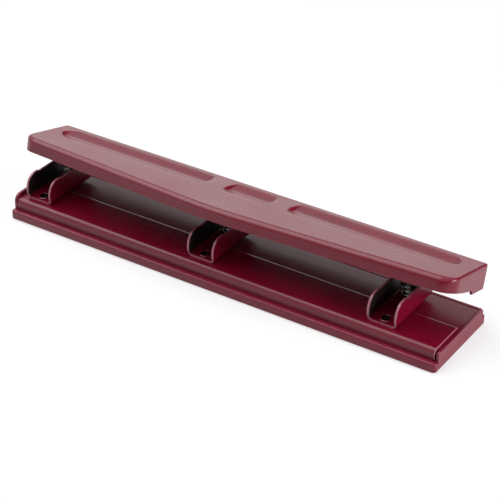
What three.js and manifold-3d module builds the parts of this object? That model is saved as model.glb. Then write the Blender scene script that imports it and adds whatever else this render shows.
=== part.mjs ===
// Three-hole punch: a long pressed-steel lever over three punch heads on a moulded base.
// Frame: x runs along the row of holes, y from the front edge to the back, z up.
// The origin is the middle of the base, on the surface that its feet stand on. Lengths are millimetres.
// The back edge of the front plate is the paper stop: sheets go in from the back, over the die plate
// and under the overhanging floors of the heads. Pressing the lever's front edge drives the three pins.

import * as THREE from 'three'
import { mergeVertices } from 'three/addons/utils/BufferGeometryUtils.js'
import Module from 'manifold-3d'

const wasm = await Module()
wasm.setup()

// Row of holes
const headSpacing = 108
const leftMargin = 14.5
const rightMargin = 34.5
const holeDiameter = 7.1
const holeRowPlace = 10
const paperMargin = 9.5

// Fits: clearance between separate pieces, and how far a cutter passes the face that it opens
const clearance = 0.3
const overrun = 3

// Moulded tray
const baseFrontReach = 26.5
const baseRearReach = 27.1
const baseCorner = 2
const trayFloor = 1.8
const trayWall = 1.9
const endWall = 1.3
const ledgeHeight = 4.8
const ledgeEdge = 1.2
const frontLedge = 3.1
const rearLedge = 3.6
const leftLedge = 0.9
const rimHeight = 8.8
const rimEdge = 2
const rearWallEdge = 0.7
const sideStopRise = 3.4
const sideStopEdge = 4
const traySeat = 1
const coringWidth = 2.6
const coringRib = 1.6
const coringCount = 9
const supportRib = 1.6
const snapLength = 14
const snapReach = 1.1
const snapDepth = 1.6

// Feet: rubber pads set into the underside
const footDiameter = 11
const footStand = 0.6
const footRecess = 1
const footInset = 9
const footChamfer = 0.4

// Pressed plates
const dieSheet = 1
const frontSheet = 1.2
const dieBend = 1
const frontBend = 1.9
const lipDrop = 5.9
const rearLipDrop = 3.6

// Heads: U-shaped brackets, each held at its front by a semi-tubular rivet
const headWidth = 16.6
const headSheet = 1.2
const headBend = 1.3
const headSetback = 5
const floorReach = 5.8
const wallHeight = 12.6
const noseRise = 0.8
const noseReach = 9
const noseBulge = 1
const noseCurveShares = { bulge: 2, low: 0.6, back: 0.7 }
const hingeHeight = 8.2
const leverArm = 8.3
const bridgeReach = 4.9
const bridgeSheet = 1.2
const rivetPlace = 4.4
const rivetBore = 4.6
const rivetBoreDepth = 3
const rivetWall = 0.4
const rivetFlange = 0.8
const rivetRoll = 0.6

// Punch pins, their springs and clips
const pinDome = 1.4
const pinDomeShares = [[1, 0], [0.8, 0.4], [0.4, 0.82]]
const pinNotchDepth = 1
const pinNotchRadius = 6.5
const clipGroove = 0.9
const clipSheet = 0.8
const clipRing = 2.2
const clipOpening = 4.4
const washerSheet = 0.6
const washerRing = 1.3
const springWire = 0.9
const springTurns = 2.75
const coilSteps = 8
const coilSides = 5

// Hinge pins
const hingeDiameter = 3.6
const hingeHead = 1.3
const hingeHeadSheet = 1.1
const crownShare = 0.8

// Lever, measured with its top level, as it stands when pressed home
const leverTilt = THREE.MathUtils.degToRad(15)
const leverLeftReach = 1.7
const leverRightInset = 1.2
const leverEndDepth = 39.7
const leverMiddleDepth = 52.6
const leverSheet = 1.2
const leverTop = 16.4
const leverRear = 6
const leverRearWall = 13.2
const leverFrontWall = 7
const leverEdge = 2.2
const leverRearEdge = 1.3
const leverCorner = 9
const leverRearCorner = 1.6
const leverApex = 180
const cheekStart = 34.5
const cheekBend = 25.6
const cheekBendWall = 9.6
const cheekCurve = 8
const earDepth = 15
const earStartWall = 11.1
const earCorner = 0.8

// Pressed pockets along the back of the lever's top: a short slope down from the back, a long one up
const pocketDepth = 1.1
const pocketBack = 5.4
const pocketDeepest = 10.2
const pocketFront = 18.5
const pocketEndSlope = 1.6
const middlePocket = 28.4
const pocketSpacing = 11.3
const pocketEndMargin = 8.4

// Yokes: pressed straps under the lever that hang on the hinge pins and push the punch pins
const yokeSheet = 1.2
const yokeBend = 0.9
const yokeReach = 6
const yokeEye = 3
const yokeKnee = 5.4

// Facets: steps on a quarter turn and round a whole circle, and the longest facet on a slow curve
const quarterSteps = 4
const circleSteps = 24
const longestFacet = 6

// Levels and places that follow from the sizes above
const trayBottom = footStand
const ledgeTop = trayBottom + ledgeHeight
const rimTop = trayBottom + rimHeight
const dieTop = rimTop + dieSheet
const deckTop = dieTop + frontSheet
const baseFront = -baseFrontReach
const baseRear = baseRearReach
const baseLength = 2 * headSpacing + leftMargin + rightMargin
const headRowOffset = (leftMargin - rightMargin) / 2
const baseLeft = -baseLength / 2
const baseRight = baseLength / 2
const lipFace = baseFront + frontLedge
const rearWallFace = baseRear - rearLedge
const rearLipFace = rearWallFace - trayWall - clearance
const leftWallFace = baseLeft + leftLedge
const plateLeft = leftWallFace + endWall + clearance
const dieRight = baseRight - endWall - clearance
const plateRight = baseRight - endWall - traySeat
const upstandFace = lipFace + frontSheet + 2 * clearance
const dieFront = lipFace + frontSheet + frontBend
const stopLine = holeRowPlace - paperMargin
const headFrontFace = lipFace + headSetback
const hingePlace = holeRowPlace + leverArm
const hingeLevel = deckTop + hingeHeight
const headMiddles = [-1, 0, 1].map((step) => headRowOffset + step * headSpacing)
const headNames = ['left', 'middle', 'right']
const leverLeft = baseLeft - leverLeftReach
const leverRight = baseRight - leverRightInset
const leverMiddle = (leverLeft + leverRight) / 2

// Materials
const paint = { color: 0x6e1428, roughness: 0.35, metalness: 0.1 }
const plastic = { color: 0x6a1a2a, roughness: 0.5, metalness: 0 }
const steel = { color: 0xb9bcc0, roughness: 0.25, metalness: 1 }
const zinc = { color: 0xc6cbc4, roughness: 0.3, metalness: 1 }
const rubber = { color: 0x18181a, roughness: 0.9, metalness: 0 }

// Outlines

/** Points of a polygon whose corners, given as [across, up, radius], are rounded by arcs. */
function roundedPoints(corners) {
  const points = []
  corners.forEach(([x, y, radius], index) => {
    const corner = new THREE.Vector2(x, y)
    const last = corners[(index + corners.length - 1) % corners.length]
    const next = corners[(index + 1) % corners.length]
    const back = new THREE.Vector2(last[0], last[1]).sub(corner).normalize()
    const ahead = new THREE.Vector2(next[0], next[1]).sub(corner).normalize()
    if (!radius) {
      points.push(corner)
      return
    }
    const half = Math.acos(THREE.MathUtils.clamp(back.dot(ahead), -1, 1)) / 2
    const middle = back.clone().add(ahead).normalize()
    const centre = corner.clone().addScaledVector(middle, radius / Math.sin(half))
    const start = corner.clone().addScaledVector(back, radius / Math.tan(half)).sub(centre)
    const turn = (Math.PI - 2 * half) * Math.sign(-back.cross(ahead))
    const steps = Math.max(
      Math.ceil((Math.abs(turn) * radius) / longestFacet),
      Math.round((Math.abs(turn) / (Math.PI / 2)) * quarterSteps),
    )
    for (let step = 0; step <= steps; step++) {
      points.push(start.clone().rotateAround(new THREE.Vector2(), (turn * step) / steps).add(centre))
    }
  })
  return points
}

/** Closed outline with rounded corners. */
function outline(corners) {
  return new THREE.Shape(roundedPoints(corners))
}

/** Rectangle between two corners, with one radius. */
function panel(left, right, low, high, radius = 0) {
  return outline([
    [left, low, radius],
    [right, low, radius],
    [right, high, radius],
    [left, high, radius],
  ])
}

/** Full circle as an outline. */
function disc(radius, across = 0, up = 0) {
  const points = []
  for (let step = 0; step < circleSteps; step++) {
    const angle = (2 * Math.PI * step) / circleSteps
    points.push(new THREE.Vector2(across + radius * Math.cos(angle), up + radius * Math.sin(angle)))
  }
  return new THREE.Shape(points)
}

/** Outline of a sheet folded along a path of outer corners; the sheet lies on the left of the path. */
function foldedSheet(path, thickness, innerRadius) {
  const inner = path.map(([x, y], index) => {
    const here = new THREE.Vector2(x, y)
    const last = path[index - 1] ? here.clone().sub(new THREE.Vector2(...path[index - 1])).normalize() : null
    const next = path[index + 1] ? new THREE.Vector2(...path[index + 1]).sub(here).normalize() : null
    const sides = [last, next].filter(Boolean).map((way) => new THREE.Vector2(-way.y, way.x))
    const sum = sides.reduce((total, side) => total.add(side), new THREE.Vector2()).normalize()
    return here.clone().addScaledVector(sum, thickness / sum.dot(sides[0]))
  })
  const bent = (index) => index > 0 && index < path.length - 1
  const outside = path.map(([x, y], index) => [x, y, bent(index) ? innerRadius + thickness : 0])
  const inside = inner.map((point, index) => [point.x, point.y, bent(index) ? innerRadius : 0])
  return outline([...outside, ...inside.reverse()])
}

// Solids

/** Closed solid made from a geometry whose shared corners are merged. */
function solid(geometry) {
  geometry.deleteAttribute('normal')
  geometry.deleteAttribute('uv')
  const merged = mergeVertices(geometry)
  return new wasm.Manifold(new wasm.Mesh({
    numProp: 3,
    vertProperties: new Float32Array(merged.attributes.position.array),
    triVerts: new Uint32Array(merged.index.array),
  }))
}

/** Outline in y and z, pushed along x. */
function alongX(shape, from, to) {
  const geometry = new THREE.ExtrudeGeometry(shape, { depth: to - from, bevelEnabled: false })
  geometry.applyMatrix4(new THREE.Matrix4().makeBasis(
    new THREE.Vector3(0, 1, 0), new THREE.Vector3(0, 0, 1), new THREE.Vector3(1, 0, 0)))
  return solid(geometry.translate(from, 0, 0))
}

/** Outline in x and z, pushed along y. */
function alongY(shape, from, to) {
  const geometry = new THREE.ExtrudeGeometry(shape, { depth: to - from, bevelEnabled: false })
  geometry.applyMatrix4(new THREE.Matrix4().makeBasis(
    new THREE.Vector3(1, 0, 0), new THREE.Vector3(0, 0, 1), new THREE.Vector3(0, -1, 0)))
  return solid(geometry.translate(0, to, 0))
}

/** Outline in x and y, pushed along z. */
function alongZ(shape, from, to) {
  const geometry = new THREE.ExtrudeGeometry(shape, { depth: to - from, bevelEnabled: false })
  return solid(geometry.translate(0, 0, from))
}

/** Plan outline pushed up from one level to another, with the top edge rounded. */
function softTop(shape, from, to, radius) {
  const geometry = new THREE.ExtrudeGeometry(shape, {
    depth: to - from + overrun - 2 * radius,
    bevelEnabled: true,
    bevelSize: radius,
    bevelOffset: -radius,
    bevelThickness: radius,
    bevelSegments: quarterSteps,
  })
  const block = solid(geometry.translate(0, 0, from - overrun + radius))
  return block.trimByPlane([0, 0, 1], from)
}

/** Turned solid: profile points are [radius, height], from the axis back to the axis. */
function turned(profile) {
  const points = profile.map(([radius, height]) => new THREE.Vector2(radius, height))
  return solid(new THREE.LatheGeometry(points, circleSteps).rotateX(Math.PI / 2))
}

/** Ring turned about z, from a closed profile of [radius, height] points. */
function turnedRing(profile) {
  return turned([...profile, profile[0]])
}

/** Buffer geometry of a solid, ready for a mesh. */
function geometryOf(body) {
  const mesh = body.getMesh()
  const geometry = new THREE.BufferGeometry()
  geometry.setAttribute('position', new THREE.BufferAttribute(mesh.vertProperties, mesh.numProp))
  geometry.setIndex(new THREE.BufferAttribute(mesh.triVerts, 1))
  geometry.computeVertexNormals()
  return geometry
}

/** Named piece with its own material, added to a group. */
function addPiece(group, name, body, finish) {
  const geometry = body.isBufferGeometry ? body : geometryOf(body)
  const piece = new THREE.Mesh(geometry, new THREE.MeshStandardMaterial(finish))
  piece.name = name
  group.add(piece)
  return piece
}

// Base

/** Side view of an end wall: level with the die plate, with an optional raised stop before the paper. */
function endWallOutline(rise) {
  const low = trayBottom + trayFloor / 2
  const rear = [
    [rearWallFace, dieTop, rimEdge],
    [rearWallFace, low, 0],
  ]
  if (!rise) {
    return outline([[lipFace, low, 0], [lipFace, dieTop, rimEdge], ...rear])
  }
  const stopEnd = stopLine - sideStopEdge
  return outline([
    [lipFace, low, 0],
    [lipFace, dieTop + rise, sideStopEdge],
    [stopEnd, dieTop + rise, rise / 2],
    [stopEnd + rise / 2, dieTop, rise / 3],
    ...rear,
  ])
}

/** Section of the back wall, level with the die plate, its top edges rounded. */
function rearWallOutline() {
  const low = trayBottom + trayFloor / 2
  return outline([
    [rearWallFace - trayWall, low, 0],
    [rearWallFace, low, 0],
    [rearWallFace, dieTop, rearWallEdge],
    [rearWallFace - trayWall, dieTop, rearWallEdge],
  ])
}

/** Pockets that core out the front ledge from below, between ribs. */
function ledgeCoring() {
  const pitch = (baseLength - 2 * trayWall) / coringCount
  const front = baseFront + trayWall
  const cores = []
  for (let step = 0; step < coringCount; step++) {
    const start = baseLeft + trayWall + step * pitch + coringRib / 2
    const core = panel(start, start + pitch - coringRib, front, front + coringWidth, coringWidth / 4)
    cores.push(alongZ(core, trayBottom - overrun, ledgeTop - trayWall))
  }
  return cores
}

/** Ribs across the tray, halfway between the heads and beyond them, that carry the die plate. */
function supportRibs() {
  const places = [-1, 1].map((side) => headRowOffset + (side * headSpacing) / 2)
  places.push(headMiddles[2] + rightMargin / 2)
  const front = upstandFace + trayWall / 2
  const rear = rearLipFace - dieSheet - dieBend - clearance
  return places.map((place) => {
    const rib = panel(place - supportRib / 2, place + supportRib / 2, front, rear)
    return alongZ(rib, trayBottom + trayFloor / 2, rimTop)
  })
}

/** Lugs inside the back wall that the die plate's folded edge snaps over. */
function snapLugs() {
  const under = dieTop - rearLipDrop - clearance
  const face = rearWallFace - trayWall
  const wedge = new THREE.Shape([
    new THREE.Vector2(face + trayWall / 2, under),
    new THREE.Vector2(face - snapReach, under),
    new THREE.Vector2(face - snapReach, under - snapDepth / 3),
    new THREE.Vector2(face, under - snapDepth),
    new THREE.Vector2(face + trayWall / 2, under - snapDepth),
  ])
  return headMiddles.map((middle) => {
    const place = THREE.MathUtils.clamp(middle, baseLeft + snapLength, baseRight - snapLength)
    return alongX(wedge, place - snapLength / 2, place + snapLength / 2)
  })
}

/** Middles of the four feet. */
function footPlaces() {
  return [
    ['front_left', baseLeft + footInset, baseFront + footInset],
    ['front_right', baseRight - footInset, baseFront + footInset],
    ['rear_left', baseLeft + footInset, baseRear - footInset],
    ['rear_right', baseRight - footInset, baseRear - footInset],
  ]
}

/** Moulded tray: ledge all round, upstands inside the plates' lips, end walls and chip hollow. */
function tray() {
  const plan = panel(baseLeft, baseRight, baseFront, baseRear, baseCorner)
  const shell = softTop(plan, trayBottom, ledgeTop, ledgeEdge)
    .add(alongZ(panel(leftWallFace, baseRight, upstandFace, rearWallFace), trayBottom, rimTop))
    .add(alongX(rearWallOutline(), leftWallFace + endWall / 2, baseRight - endWall / 2))
    .add(alongX(endWallOutline(sideStopRise), leftWallFace, leftWallFace + endWall))
    .add(alongX(endWallOutline(0), baseRight - endWall, baseRight))
  const hollow = panel(
    leftWallFace + endWall, baseRight - endWall, upstandFace + trayWall, rearWallFace - trayWall)
  let body = shell.subtract(alongZ(hollow, trayBottom + trayFloor, dieTop + sideStopRise + overrun))
  for (const stiffener of [...supportRibs(), ...snapLugs()]) {
    body = body.add(stiffener)
  }
  for (const core of ledgeCoring()) {
    body = body.subtract(core)
  }
  footPlaces().forEach(([, x, y]) => {
    const recess = disc(footDiameter / 2 + clearance, x, y)
    body = body.subtract(alongZ(recess, trayBottom - overrun, trayBottom + footRecess))
  })
  return body
}

/** Rubber foot with a chamfered tread. */
function foot(x, y) {
  const radius = footDiameter / 2
  return turned([
    [0, 0],
    [radius - footChamfer, 0],
    [radius, footChamfer],
    [radius, trayBottom + footRecess],
    [0, trayBottom + footRecess],
  ]).translate([x, y, 0])
}

/** Die plate: flat sheet with a hole under each pin and its back edge folded down inside the tray. */
function diePlate() {
  const profile = foldedSheet([
    [rearLipFace, dieTop - rearLipDrop],
    [rearLipFace, dieTop],
    [dieFront, dieTop],
  ], dieSheet, dieBend)
  let plate = alongX(profile, plateLeft, dieRight)
  headMiddles.forEach((middle) => {
    const die = disc(holeDiameter / 2 + clearance, middle, holeRowPlace)
    const rivet = disc(rivetRadius() + clearance, middle, rivetLine())
    plate = plate.subtract(alongZ(die, rimTop - overrun, dieTop + overrun))
    plate = plate.subtract(alongZ(rivet, rimTop - overrun, dieTop + overrun))
  })
  return plate
}

/** Front plate: lies on the die plate, folds down over the front, and stops the paper with its back edge. */
function frontPlate() {
  const profile = foldedSheet([
    [stopLine, deckTop],
    [lipFace, deckTop],
    [lipFace, deckTop - lipDrop],
  ], frontSheet, frontBend)
  let plate = alongX(profile, plateLeft, plateRight)
  headMiddles.forEach((middle) => {
    const rivet = disc(rivetRadius() + clearance, middle, rivetLine())
    plate = plate.subtract(alongZ(rivet, dieTop - overrun, deckTop + overrun))
  })
  return plate
}

// Heads, each built round its own middle

/** Line of the rivets that hold the heads. */
function rivetLine() {
  return headFrontFace + rivetPlace
}

/** Outer radius of a rivet's shank. */
function rivetRadius() {
  return rivetBore / 2 + rivetWall
}

/** Side view of a head's walls: bulging nose, level top, round eye at the hinge, open under the eye. */
function headSide() {
  const top = deckTop + wallHeight
  const eye = wallHeight - hingeHeight
  const { bulge, low, back } = noseCurveShares
  const nose = new THREE.CubicBezierCurve(
    new THREE.Vector2(headFrontFace, deckTop + headSheet),
    new THREE.Vector2(headFrontFace - noseBulge * bulge, deckTop + wallHeight * low),
    new THREE.Vector2(headFrontFace + noseBulge, top + noseRise),
    new THREE.Vector2(headFrontFace + noseReach * back, top + noseRise),
  )
  const points = [new THREE.Vector2(headFrontFace, deckTop), ...nose.getPoints(2 * quarterSteps)]
  points.push(new THREE.Vector2(headFrontFace + noseReach, top + noseRise))
  points.push(new THREE.Vector2(headFrontFace + noseReach + noseRise, top))
  for (let step = 0; step <= 2 * quarterSteps; step++) {
    const angle = Math.PI / 2 - (step * Math.PI * 0.75) / (2 * quarterSteps)
    points.push(new THREE.Vector2(hingePlace + eye * Math.cos(angle), hingeLevel + eye * Math.sin(angle)))
  }
  points.push(new THREE.Vector2(holeRowPlace + floorReach, deckTop))
  return new THREE.Shape(points)
}

/** Bracket: U of sheet with a pin bridge across its walls. */
function headBracket() {
  const half = headWidth / 2
  const high = deckTop + wallHeight + noseRise + overrun
  const channel = foldedSheet([
    [-half, high],
    [-half, deckTop],
    [half, deckTop],
    [half, high],
  ], headSheet, headBend)
  const bridgeTop = deckTop + wallHeight
  const bridge = panel(
    -half + headSheet / 2, half - headSheet / 2, holeRowPlace - bridgeReach, holeRowPlace + bridgeReach)
  const pinHole = disc(holeDiameter / 2 + clearance, 0, holeRowPlace)
  const rivetHole = disc(rivetRadius() + clearance, 0, rivetLine())
  const hingeHole = disc(hingeDiameter / 2 + clearance, hingePlace, hingeLevel)
  return alongY(channel, headFrontFace - overrun, hingePlace + wallHeight)
    .intersect(alongX(headSide(), -headWidth, headWidth))
    .add(alongZ(bridge, bridgeTop - bridgeSheet, bridgeTop))
    .subtract(alongZ(pinHole, deckTop - overrun, bridgeTop + overrun))
    .subtract(alongZ(rivetHole, deckTop - overrun, deckTop + headSheet + overrun))
    .subtract(alongX(hingeHole, -headWidth, headWidth))
}

/** Semi-tubular rivet: solid head below, hollow end rolled over on the head's floor. */
function bracketRivet() {
  const bore = rivetBore / 2
  const tube = rivetRadius()
  const flange = tube + rivetFlange
  const under = rimTop
  const over = deckTop + headSheet
  const lip = over + rivetRoll / 2
  return turned([
    [0, under - rivetRoll],
    [flange - rivetRoll / 2, under - rivetRoll],
    [flange, under],
    [tube, under],
    [tube, over],
    [flange, over],
    [flange - rivetRoll / 2, over + rivetRoll * crownShare],
    [tube, over + rivetRoll],
    [bore, lip],
    [bore, lip - rivetBoreDepth],
    [0, lip - rivetBoreDepth],
  ]).translate([0, rivetLine(), 0])
}

// Punch pins: levels along a pin at rest

/** Levels of the pin, washer, clip and spring at rest. */
function pinLevels() {
  const bridgeUnder = deckTop + wallHeight - bridgeSheet
  const clipTop = bridgeUnder - clearance
  const clipUnder = clipTop - clipSheet
  const washerTop = clipUnder - clearance
  const washerUnder = washerTop - washerSheet
  return {
    tip: deckTop + clearance,
    clipTop,
    clipUnder,
    washerTop,
    washerUnder,
    springTop: washerUnder - clearance,
    springFoot: deckTop + headSheet + clearance,
    top: hingeLevel + yokeUnder() / Math.cos(leverTilt) + leverArm * Math.tan(leverTilt) - clearance,
  }
}

/** Height of a yoke's pressing face above the hinge line, with the lever level. */
function yokeUnder() {
  return leverTop - leverSheet - pocketDepth - clearance - yokeSheet
}

/** Punch pin: domed top, groove for the clip, and a hollow-ground cutting end. */
function punchPin() {
  const levels = pinLevels()
  const radius = holeDiameter / 2
  const neck = radius - clipGroove
  const shank = turned([
    [0, levels.tip],
    [radius, levels.tip],
    [radius, levels.clipUnder - clearance / 2],
    [neck, levels.clipUnder - clearance / 2],
    [neck, levels.clipTop + clearance / 2],
    [radius, levels.clipTop + clearance / 2],
    ...pinDomeShares.map(([across, up]) => [radius * across, levels.top - pinDome * (1 - up)]),
    [0, levels.top],
  ])
  const hollow = disc(pinNotchRadius, 0, levels.tip + pinNotchDepth - pinNotchRadius)
  return shank.subtract(alongX(hollow, -holeDiameter, holeDiameter)).translate([0, holeRowPlace, 0])
}

/** Spring seat washer. */
function springWasher() {
  const levels = pinLevels()
  const bore = holeDiameter / 2 + clearance
  return turnedRing([
    [bore, levels.washerUnder],
    [bore + washerRing, levels.washerUnder],
    [bore + washerRing, levels.washerTop],
    [bore, levels.washerTop],
  ]).translate([0, holeRowPlace, 0])
}

/** Retaining clip: an open ring with two relief notches, snapped into the groove from the front. */
function retainingClip() {
  const levels = pinLevels()
  const bore = holeDiameter / 2 - clipGroove + clearance
  const outer = bore + clipRing
  const mouth = panel(-clipOpening / 2, clipOpening / 2, -outer - overrun, 0)
  let ring = alongZ(disc(outer), levels.clipUnder, levels.clipTop)
    .subtract(alongZ(disc(bore), levels.clipUnder - overrun, levels.clipTop + overrun))
    .subtract(alongZ(mouth, levels.clipUnder - overrun, levels.clipTop + overrun))
  for (const side of [-1, 1]) {
    const relief = disc(clipRing / 2, side * bore * Math.sin(Math.PI / 3), bore * Math.cos(Math.PI / 3))
    ring = ring.subtract(alongZ(relief, levels.clipUnder - overrun, levels.clipTop + overrun))
  }
  return ring.translate([0, holeRowPlace, 0])
}

/** Centre line of a return spring: a helix whose two ends run straight for one wire diameter. */
function springLine() {
  const levels = pinLevels()
  const radius = holeDiameter / 2 + clearance + springWire / 2
  const low = levels.springFoot + springWire / 2
  const high = levels.springTop - springWire / 2
  const steps = Math.round(springTurns * coilSteps)
  const points = []
  for (let step = 0; step <= steps; step++) {
    const angle = (2 * Math.PI * step) / coilSteps
    points.push(new THREE.Vector3(
      radius * Math.cos(angle), radius * Math.sin(angle), THREE.MathUtils.lerp(low, high, step / steps)))
  }
  const startWay = new THREE.Vector3(0, -springWire, 0)
  const last = (2 * Math.PI * steps) / coilSteps
  const endWay = new THREE.Vector3(-Math.sin(last), Math.cos(last), 0).multiplyScalar(springWire)
  points.unshift(points[0].clone().add(startWay))
  points.push(points[points.length - 1].clone().add(endWay))
  return points
}

/** Closed tube of five sides along a line of points, with a flat cap at each end. */
function coiledTube(points, radius) {
  const corners = []
  points.forEach((point, index) => {
    const last = points[Math.max(index - 1, 0)]
    const next = points[Math.min(index + 1, points.length - 1)]
    const way = next.clone().sub(last).normalize()
    const side = new THREE.Vector3(0, 0, 1).cross(way).normalize()
    const up = way.clone().cross(side)
    for (let corner = 0; corner < coilSides; corner++) {
      const angle = (2 * Math.PI * corner) / coilSides
      corners.push(point.clone()
        .addScaledVector(side, radius * Math.cos(angle))
        .addScaledVector(up, radius * Math.sin(angle)))
    }
  })
  const faces = []
  const end = corners.length - coilSides
  for (let ring = 0; ring < end; ring += coilSides) {
    for (let corner = 0; corner < coilSides; corner++) {
      const next = (corner + 1) % coilSides
      faces.push(ring + corner, ring + next, ring + coilSides + corner)
      faces.push(ring + next, ring + coilSides + next, ring + coilSides + corner)
    }
  }
  for (let corner = 1; corner < coilSides - 1; corner++) {
    faces.push(0, corner + 1, corner, end, end + corner, end + corner + 1)
  }
  const geometry = new THREE.BufferGeometry().setFromPoints(corners)
  geometry.setIndex(faces)
  geometry.computeVertexNormals()
  return geometry
}

/** Least gap between the turns of a spring, measured between points of its centre line. */
function leastTurnGap(points, wire) {
  let least = Infinity
  points.forEach((point, index) => {
    for (let other = index + coilSteps / 2; other < points.length; other++) {
      least = Math.min(least, point.distanceTo(points[other]) - wire)
    }
  })
  return least
}

/** Hinge pin: a rivet through the bracket's walls and the yoke's arms. */
function hingePin() {
  const shank = hingeDiameter / 2
  const reach = headWidth / 2 + clearance
  const head = shank + hingeHead
  return turned([
    [0, -reach - hingeHeadSheet],
    [head * crownShare, -reach - hingeHeadSheet],
    [head, -reach - hingeHeadSheet / 2],
    [head, -reach],
    [shank, -reach],
    [shank, reach],
    [head, reach],
    [head, reach + hingeHeadSheet / 2],
    [head * crownShare, reach + hingeHeadSheet],
    [0, reach + hingeHeadSheet],
  ]).rotate([0, 90, 0]).translate([0, hingePlace, hingeLevel])
}

// Lever and yokes, built about the hinge line with the lever level

/** Plan of the lever, drawn in from its outer edge by an inset: straight back, shallow point at the front. */
function leverPlan(inset, rear, rearCorner) {
  const cornerFront = leverRear - leverEndDepth + inset
  const apexFront = leverRear - leverMiddleDepth + inset
  return outline([
    [leverRight - inset, rear, rearCorner],
    [leverLeft + inset, rear, rearCorner],
    [leverLeft + inset, cornerFront, leverCorner - inset],
    [leverMiddle, apexFront, leverApex],
    [leverRight - inset, cornerFront, leverCorner - inset],
  ])
}

/** Block in the lever's outline, drawn in by an inset: soft top edge, tighter along the back. */
function leverBlock(inset, low, high) {
  const rear = leverRear - inset
  const ends = softTop(leverPlan(inset, rear + overrun, 0), low, high, leverEdge - inset)
  const back = outline([
    [-leverMiddleDepth - overrun, low, 0],
    [rear, low, 0],
    [rear, high, leverRearEdge - inset],
    [-leverMiddleDepth - overrun, high, 0],
  ])
  const corners = alongZ(leverPlan(inset, rear, leverRearCorner - inset), low, high)
  return ends.intersect(alongX(back, leverLeft, leverRight)).intersect(corners)
}

/** Ends of the three pressed pockets along the lever. */
function pocketSpans() {
  const inner = middlePocket / 2 + pocketSpacing
  return [
    [leverLeft + pocketEndMargin, leverMiddle - inner],
    [leverMiddle - middlePocket / 2, leverMiddle + middlePocket / 2],
    [leverMiddle + inner, leverRight - pocketEndMargin],
  ]
}

/** Plug that presses a pocket down from a level: its section is a lopsided dish, its ends slope. */
function pocketPlug([left, right], level) {
  const back = leverRear - pocketBack
  const front = leverRear - pocketFront
  const dish = outline([
    [back, level, 0],
    [back, level + overrun, 0],
    [front, level + overrun, 0],
    [front, level, 0],
    [leverRear - pocketDeepest, level - pocketDepth, pocketDepth],
  ])
  const ends = outline([
    [left, level + overrun, 0],
    [left, level, 0],
    [left + pocketEndSlope, level - pocketDepth, 0],
    [right - pocketEndSlope, level - pocketDepth, 0],
    [right, level, 0],
    [right, level + overrun, 0],
  ])
  return alongX(dish, left, right).intersect(alongY(ends, front, back))
}

/** Side view of what is cut away in front of the ears, under the walls' lower edges. */
function underEdge() {
  const low = leverTop - leverRearWall
  const ahead = -leverMiddleDepth - overrun
  return outline([
    [leverRear - earDepth, low - overrun, 0],
    [leverRear - earDepth, leverTop - earStartWall, earCorner],
    [leverRear - cheekBend, leverTop - cheekBendWall, cheekCurve],
    [leverRear - cheekStart, leverTop - leverFrontWall, cheekCurve],
    [ahead, leverTop - leverFrontWall, 0],
    [ahead, low - overrun, 0],
  ])
}

/** Lever cover: one pressing with rounded edges, shallow at the front, deepest at the ears and back. */
function lever() {
  const under = leverTop - leverSheet
  const low = leverTop - leverRearWall
  let shell = leverBlock(0, low, leverTop)
  let hollow = leverBlock(leverSheet, low - overrun, under)
  pocketSpans().forEach((span) => {
    hollow = hollow.subtract(pocketPlug(span, under))
  })
  shell = shell.subtract(hollow)
  pocketSpans().forEach((span) => {
    shell = shell.subtract(pocketPlug(span, leverTop))
  })
  return shell.subtract(alongX(underEdge(), leverLeft - overrun, leverRight + overrun))
}

/** Yoke: an inverted U inside the bracket, with round eyes on the hinge and a sloping front. */
function yoke() {
  const half = headWidth / 2 - headSheet - clearance
  const top = yokeUnder() + yokeSheet
  const front = -leverArm - yokeReach
  const channel = foldedSheet([
    [half, -overrun - yokeEye],
    [half, top],
    [-half, top],
    [-half, -overrun - yokeEye],
  ], yokeSheet, yokeBend)
  const side = outline([
    [yokeEye, top, 0],
    [front, top, 0],
    [front, yokeUnder(), 0],
    [-yokeEye, yokeKnee, yokeEye],
    [-yokeEye, -yokeEye, yokeEye],
    [yokeEye, -yokeEye, yokeEye],
  ])
  const hinge = disc(hingeDiameter / 2 + clearance)
  return alongY(channel, front - overrun, yokeEye + overrun)
    .intersect(alongX(side, -headWidth, headWidth))
    .subtract(alongX(hinge, -headWidth, headWidth))
}

// The punch
const punch = new THREE.Group()
addPiece(punch, 'chip_tray', tray(), plastic)
footPlaces().forEach(([place, x, y]) => addPiece(punch, `foot_${place}`, foot(x, y), rubber))
addPiece(punch, 'die_plate', diePlate(), paint)
addPiece(punch, 'front_plate', frontPlate(), paint)

const spring = springLine()
headNames.forEach((name, index) => {
  const head = new THREE.Group()
  head.position.x = headMiddles[index]
  addPiece(head, `head_bracket_${name}`, headBracket(), paint)
  addPiece(head, `bracket_rivet_${name}`, bracketRivet(), paint)
  addPiece(head, `punch_pin_${name}`, punchPin(), steel)
  addPiece(head, `spring_washer_${name}`, springWasher(), zinc)
  addPiece(head, `retaining_clip_${name}`, retainingClip(), steel)
  const coil = addPiece(head, `return_spring_${name}`, coiledTube(spring, springWire / 2), zinc)
  coil.position.y = holeRowPlace
  addPiece(head, `hinge_pin_${name}`, hingePin(), steel)
  punch.add(head)
})
console.log(`least gap between the turns of a spring: ${leastTurnGap(spring, springWire).toFixed(2)} mm`)

const swing = new THREE.Group()
swing.position.set(0, hingePlace, hingeLevel)
swing.rotation.x = -leverTilt
addPiece(swing, 'lever_cover', lever(), paint)
headNames.forEach((name, index) => {
  const piece = addPiece(swing, `lever_yoke_${name}`, yoke(), paint)
  piece.position.x = headMiddles[index]
})
punch.add(swing)

export default punch
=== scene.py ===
# %% [markdown]
# # A three-hole punch in burgundy enamel
#
# This lesson dresses the construction model of a desk punch. The model gives the size and place of
# every piece. Here each piece gets the surface that a press, a mould or a lathe would leave on it,
# and then its paint, plating or rubber. Lengths are in millimetres until a mesh is made of them.

import math

import bmesh
import bpy
import numpy as np
from mathutils import Matrix


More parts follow.
